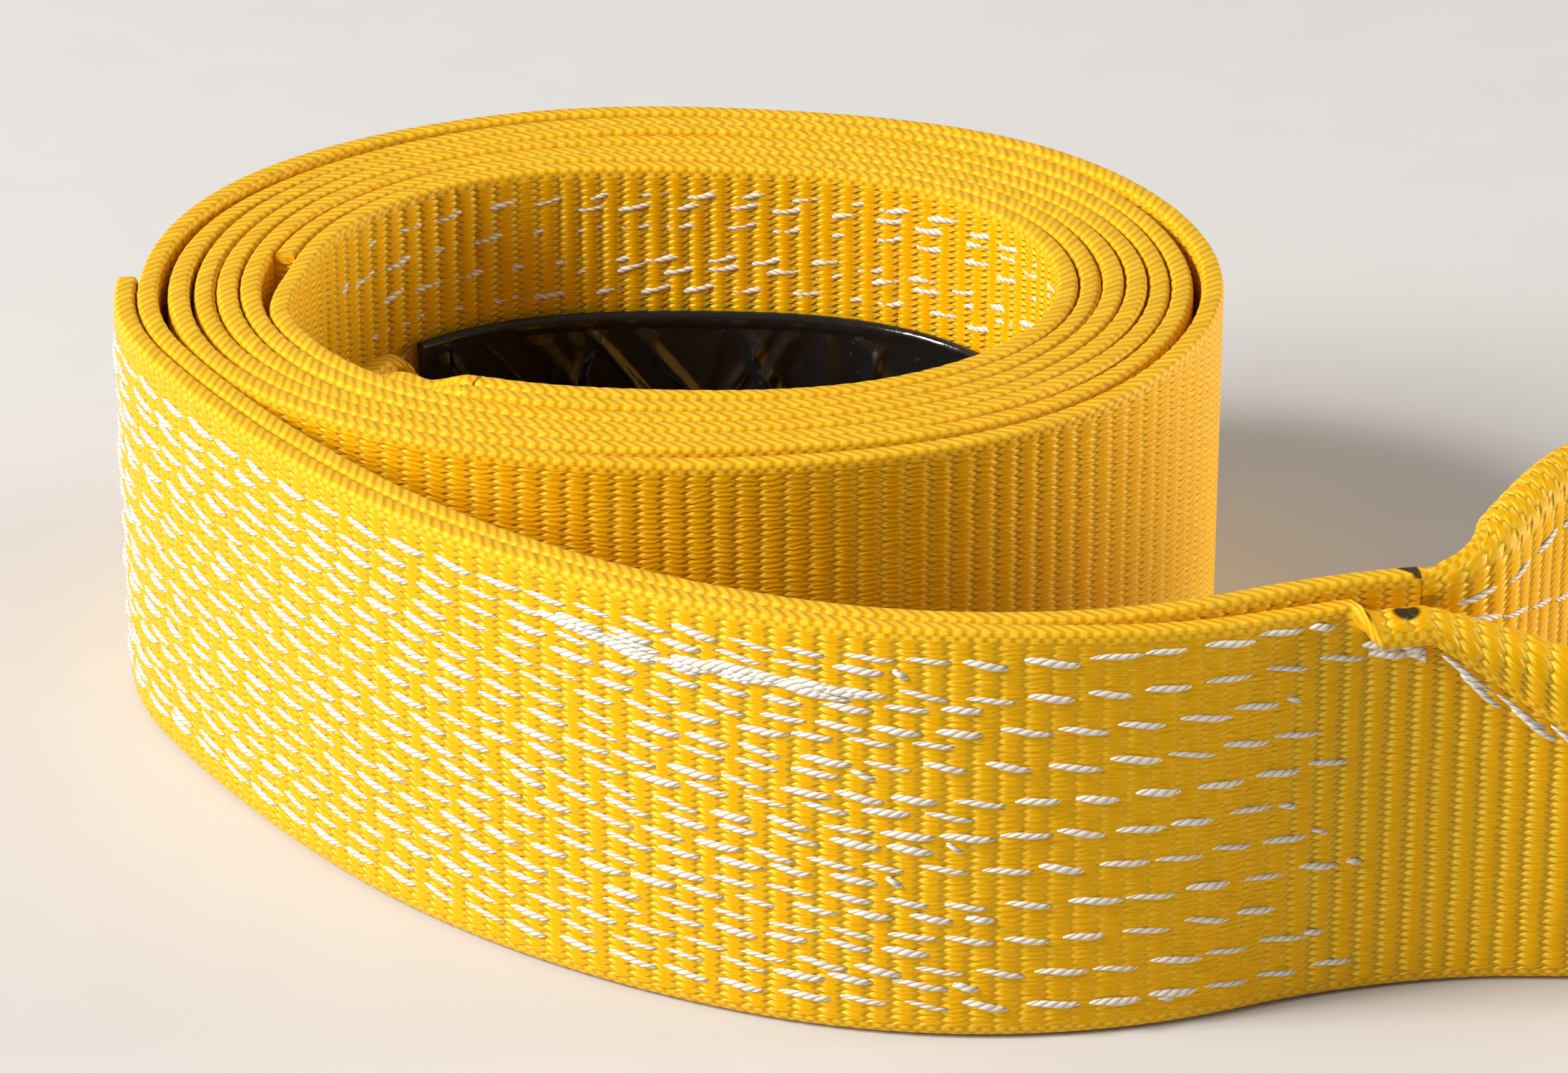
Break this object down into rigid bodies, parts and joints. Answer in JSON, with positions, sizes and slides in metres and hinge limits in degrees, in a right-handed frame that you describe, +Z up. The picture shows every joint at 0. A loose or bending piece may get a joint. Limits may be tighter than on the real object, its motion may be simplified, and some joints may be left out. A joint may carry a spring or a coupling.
{
  "type": "flat web sling",
  "caption": "Flat single-ply polyester web sling with a folded, sewn eye at each end, rolled up on its edge with one eye lying open.",
  "frame": {"origin": "on the floor, under the middle of the whole sling's box as it lies", "axes": "+Z up across the web's width; +X from the roll towards the open outer eye; the outer splice passes on the -Y side of the roll"},
  "size_m": [0.234, 0.1424, 0.0546],
  "materials": {
    "webbing": "woven polyester, satin",
    "thread": "twisted polyester thread",
    "vinyl": "glossy creased vinyl"
  },
  "bodies": {
    "roll": {"coiled_web": "webbing", "inner_splice_return_ply": "webbing", "inner_splice_stitch_row_01": "thread", "inner_splice_stitch_row_02": "thread", "inner_splice_stitch_row_03": "thread", "inner_splice_stitch_row_04": "thread", "inner_splice_stitch_row_05": "thread", "inner_splice_stitch_row_06": "thread", "inner_splice_stitch_row_07": "thread", "inner_splice_stitch_row_08": "thread", "inner_splice_stitch_row_09": "thread", "inner_splice_stitch_row_10": "thread", "inner_splice_stitch_row_11": "thread"},
    "outer_splice": {"outer_splice_body_ply": "webbing", "outer_splice_return_ply": "webbing", "outer_splice_stitch_row_01": "thread", "outer_splice_stitch_row_02": "thread", "outer_splice_stitch_row_03": "thread", "outer_splice_stitch_row_04": "thread", "outer_splice_stitch_row_05": "thread", "outer_splice_stitch_row_06": "thread", "outer_splice_stitch_row_07": "thread", "outer_splice_stitch_row_08": "thread", "outer_splice_stitch_row_09": "thread", "outer_splice_stitch_row_10": "thread", "outer_splice_stitch_row_11": "thread"},
    "outer_eye": {"outer_eye_web": "webbing", "outer_eye_folded_edge": "webbing", "outer_eye_near_leg_taper_stitch": "thread", "outer_eye_far_leg_taper_stitch": "thread"},
    "inner_eye": {"inner_eye_web": "webbing", "inner_eye_folded_edge": "webbing", "inner_eye_hollow_side_leg_taper_stitch": "thread", "inner_eye_wall_side_leg_taper_stitch": "thread"},
    "id_tag": {"id_tag": "vinyl", "id_tag_seam_stitch": "thread"}
  },
  "joints": [
    {"name": "outer_splice_peel", "type": "hinge", "parent": "roll", "child": "outer_splice", "pos_m": [-0.11309, 0.01888, 0.025], "axis": [0, 0, -1], "range_deg": [0, 20]},
    {"name": "outer_eye_swing", "type": "hinge", "parent": "outer_splice", "child": "outer_eye", "pos_m": [0.0312, -0.05644, 0.025], "axis": [0, 0, 1], "range_deg": [-15, 15]},
    {"name": "inner_eye_swing", "type": "hinge", "parent": "roll", "child": "inner_eye", "pos_m": [-0.07443, -0.00939, 0.025], "axis": [0, 0, -1], "range_deg": [0, 6]},
    {"name": "id_tag_swing", "type": "hinge", "parent": "roll", "child": "id_tag", "pos_m": [-0.01455, 0.03725, 0.016], "axis": [0, 0, 1], "range_deg": [0, 6]}
  ]
}
